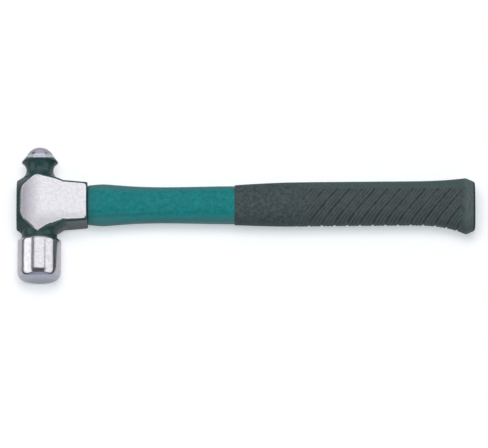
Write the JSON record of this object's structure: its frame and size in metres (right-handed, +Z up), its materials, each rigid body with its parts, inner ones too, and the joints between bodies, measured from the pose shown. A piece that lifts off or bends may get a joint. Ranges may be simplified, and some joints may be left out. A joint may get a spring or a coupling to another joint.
{
  "type": "ball peen hammer",
  "caption": "Ball peen hammer with a forged steel head, a bonded glass-fibre handle in a teal plastic jacket and a ribbed dark rubber grip with a flared butt.",
  "frame": {"origin": "on the surface that the hammer lies on, under the centre of its bounding box", "axes": "+X along the handle from the head to the butt, +Y along the head from the striking face to the peen, +Z up, square to the cheeks"},
  "size_m": [0.3302, 0.0983, 0.0314],
  "materials": {
    "head_steel": "polished cheeks, poll and ball, with dark grey-green gloss paint in the necks, on the bevels and on the walls of the eye block",
    "core_fibre": "cut ends of resin-bonded glass fibre",
    "eye_epoxy": "dark cast epoxy",
    "jacket_plastic": "teal moulded polymer, satin gloss",
    "grip_rubber": "dark green-grey matt rubber with moulded diagonal ribs"
  },
  "bodies": {
    "root": {"head": "head_steel", "handle_core": "core_fibre", "eye_resin": "eye_epoxy", "handle_jacket": "jacket_plastic", "grip": "grip_rubber"}
  },
  "joints": []
}
